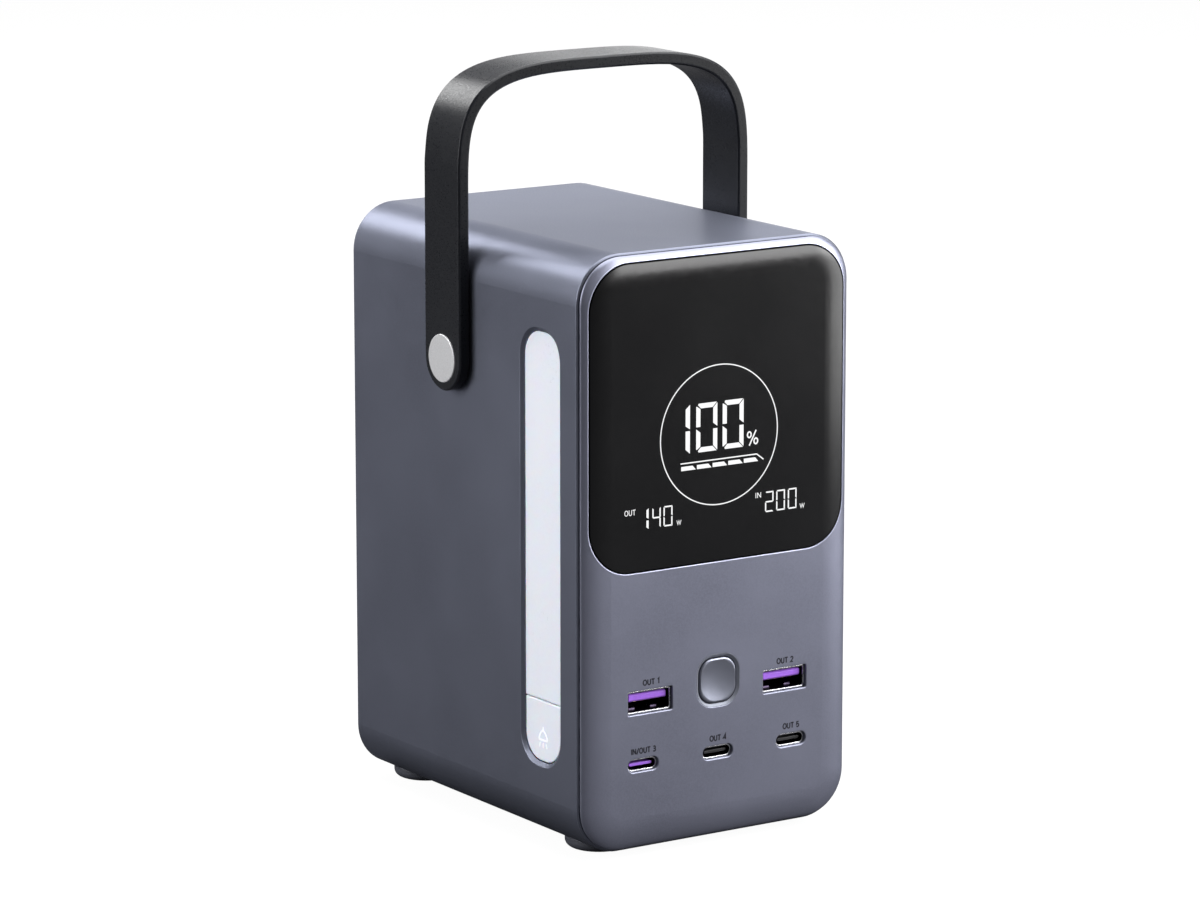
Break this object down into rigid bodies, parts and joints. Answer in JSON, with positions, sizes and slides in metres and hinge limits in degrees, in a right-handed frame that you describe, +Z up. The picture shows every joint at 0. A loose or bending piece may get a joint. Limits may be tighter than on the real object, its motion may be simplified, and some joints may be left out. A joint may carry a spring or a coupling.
{
  "type": "portable power station",
  "caption": "Upright box-shaped portable power station with a front display, charging sockets, a power button, a side light bar with its own button, rubber feet and a swinging bail handle.",
  "frame": {"origin": "centre of the overall width and depth, on the plane the feet rest on", "axes": "+Z up; the display and sockets face -Y; the light bar is on the -X side; the handle pivots along X"},
  "size_m": [0.09, 0.1092, 0.1966],
  "materials": {
    "shell": "satin metallic blue-grey",
    "panel": "satin metallic blue-grey",
    "cover": "satin metallic blue-grey",
    "display": "gloss black",
    "lcd": "dark",
    "button": "satin",
    "ring": "satin",
    "steel": "bright",
    "violet": "satin",
    "black": "satin",
    "contact": "plated",
    "lens": "frosted white",
    "led": "yellow phosphor",
    "strap": "satin black",
    "pivot": "satin",
    "nylon": "matt",
    "rubber": "matt",
    "cell": "sleeved",
    "nickel": "plated",
    "pcb": "solder resist",
    "sink": "extruded",
    "ferrite": "matt",
    "can": "sleeved"
  },
  "bodies": {
    "station": {"battery_cells": "cell", "battery_tray": "black", "bus_strips_left": "nickel", "bus_strips_right": "nickel", "capacitors": "can", "case_screws": "steel", "cell_holder_left": "black", "cell_holder_right": "black", "display_board": "pcb", "display_glass": "display", "display_module": "lcd", "display_screws": "steel", "foot_front_left": "rubber", "foot_front_right": "rubber", "foot_rear_left": "rubber", "foot_rear_right": "rubber", "front_panel": "panel", "heat_sink": "sink", "inductors": "ferrite", "lamp_board": "pcb", "lamp_leds": "led", "lamp_lens": "lens", "lamp_screws": "steel", "lamp_switch": "black", "main_board": "pcb", "main_shell": "shell", "management_board": "pcb", "pivot_nut_left": "steel", "pivot_nut_right": "steel", "pivot_pin_left": "pivot", "pivot_pin_right": "pivot", "pivot_washer_left": "nylon", "pivot_washer_right": "nylon", "port_board": "pcb", "port_screws": "steel", "power_button_ring": "ring", "power_switch": "black", "rear_cover": "cover", "usb_a_contacts_left": "contact", "usb_a_contacts_right": "contact", "usb_a_insulator_left": "violet", "usb_a_insulator_right": "violet", "usb_a_shell_left": "steel", "usb_a_shell_right": "steel", "usb_c_insulator_centre": "black", "usb_c_insulator_left": "violet", "usb_c_insulator_right": "black", "usb_c_shell_centre": "steel", "usb_c_shell_left": "steel", "usb_c_shell_right": "steel"},
    "handle": {"handle_strap": "strap"},
    "power_button": {"power_button": "button"},
    "lamp_button": {"lamp_button": "lens"}
  },
  "joints": [
    {"name": "handle_swing", "type": "hinge", "parent": "station", "child": "handle", "pos_m": [0, 0.0048, 0.1213], "axis": [1, 0, 0], "range_deg": [-90, 50]},
    {"name": "power_press", "type": "slide", "parent": "station", "child": "power_button", "axis": [0, 1, 0], "range_m": [0, 0.0005], "stiffness_N_per_m": 3000},
    {"name": "lamp_press", "type": "slide", "parent": "station", "child": "lamp_button", "axis": [1, 0, 0], "range_m": [0, 0.0004], "stiffness_N_per_m": 3000}
  ]
}
